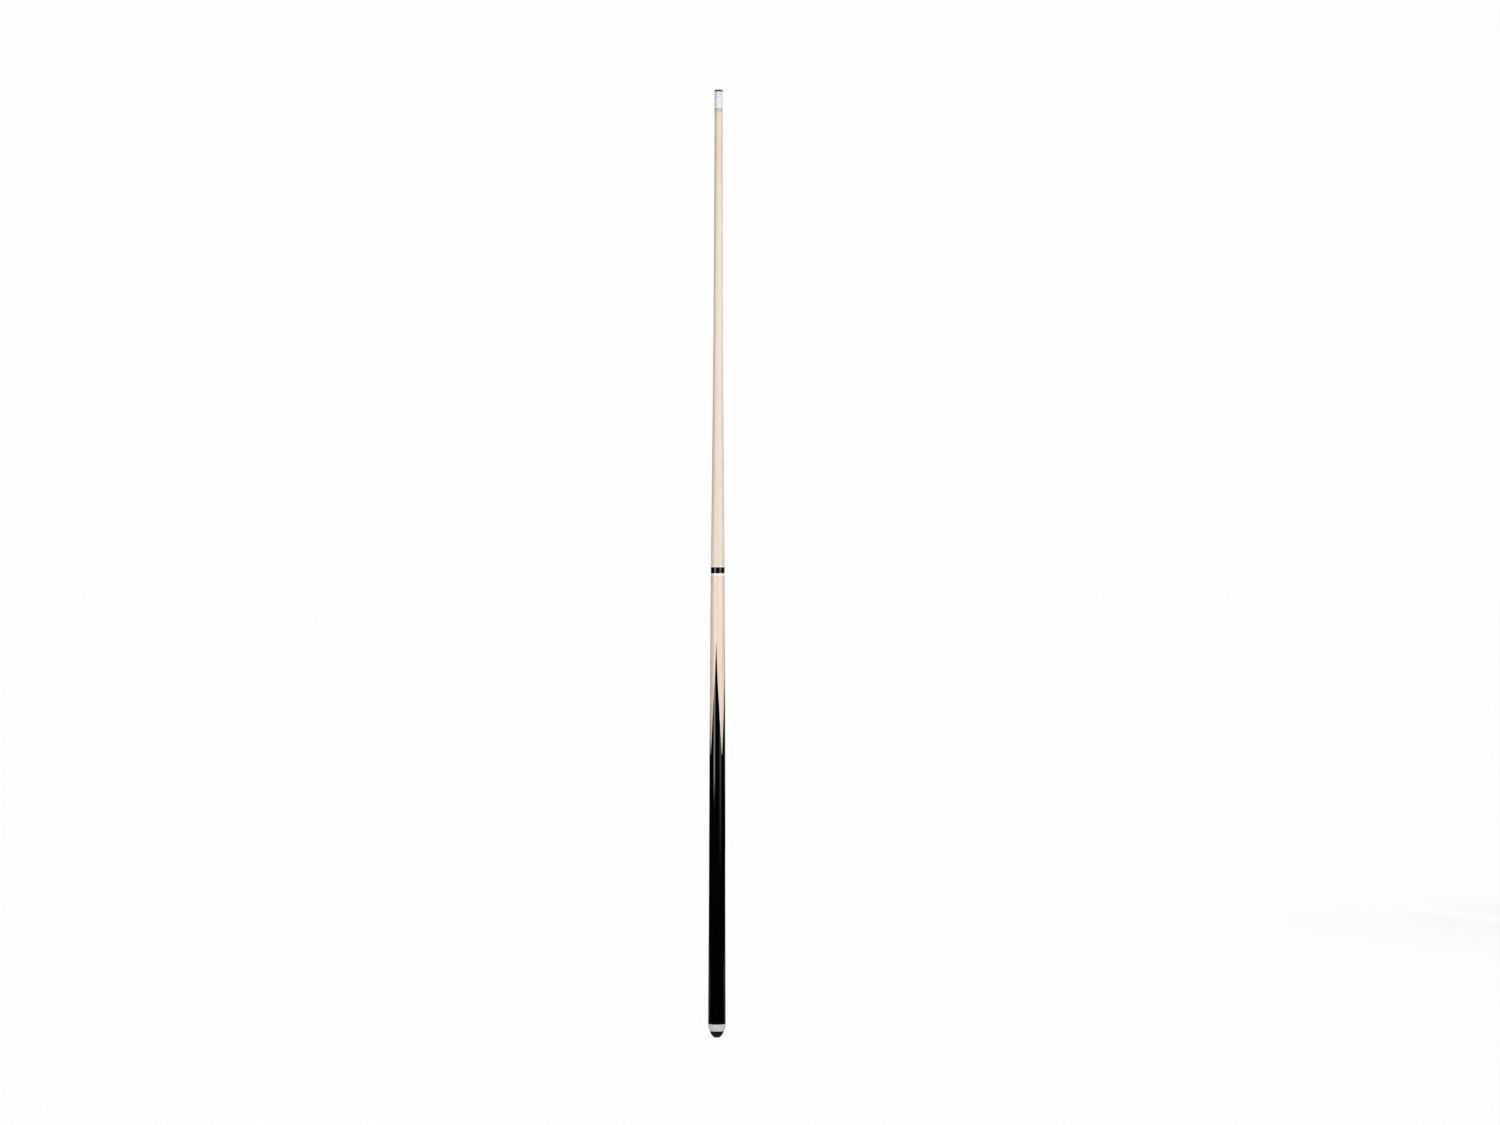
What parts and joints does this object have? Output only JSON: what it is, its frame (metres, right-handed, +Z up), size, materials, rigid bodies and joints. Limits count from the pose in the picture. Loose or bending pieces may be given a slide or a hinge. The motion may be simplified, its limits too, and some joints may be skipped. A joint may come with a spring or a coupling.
{
  "type": "pool cue",
  "caption": "Jointed pool cue: tapered maple shaft with ferrule and domed tip, spliced black butt with pointed inlays, collared screw joint, white butt cap and rubber bumper.",
  "frame": {"origin": "middle of the flat foot of the rubber bumper", "axes": "+Z up the cue's centre line from butt to tip; the front splice point faces 11 degrees from -Y towards -X"},
  "size_m": [0.0272, 0.027, 1.448],
  "materials": {
    "tip_leather": "dark pressed leather, napped on top",
    "white_plastic": "polished white plastic",
    "shaft_maple": "pale hard maple, satin",
    "forearm_maple": "pale maple under clear gloss lacquer",
    "black_wood": "black-stained wood under clear gloss lacquer",
    "black_plastic": "polished black plastic",
    "brass": "machined brass",
    "steel": "machined steel",
    "bumper_rubber": "moulded black rubber"
  },
  "bodies": {
    "butt": {"handle": "black_wood", "forearm": "forearm_maple", "butt_cap": "white_plastic", "weight_bolt": "steel", "butt_collar": "black_plastic", "butt_trim_ring": "white_plastic", "joint_pin": "steel"},
    "joint_lift": {"shaft_trim_ring": "white_plastic"},
    "shaft": {"shaft": "shaft_maple", "shaft_collar": "black_plastic", "joint_insert": "brass", "ferrule": "white_plastic", "tip": "tip_leather"},
    "bumper": {"bumper": "bumper_rubber"}
  },
  "joints": [
    {"name": "shaft_lift", "type": "slide", "parent": "butt", "child": "joint_lift", "axis": [0, 0, 1], "range_m": [0, 0.0226]},
    {"name": "shaft_unscrew", "type": "hinge", "parent": "joint_lift", "child": "shaft", "pos_m": [0, 0, 0.713], "axis": [0, 0, 1], "range_deg": [0, 5760]},
    {"name": "bumper_pull", "type": "slide", "parent": "butt", "child": "bumper", "axis": [0, 0, -1], "range_m": [0, 0.018]}
  ],
  "couplings": [
    {"joint": "shaft_lift", "follows": "shaft_unscrew", "m_per_rad": 0.00022459}
  ]
}
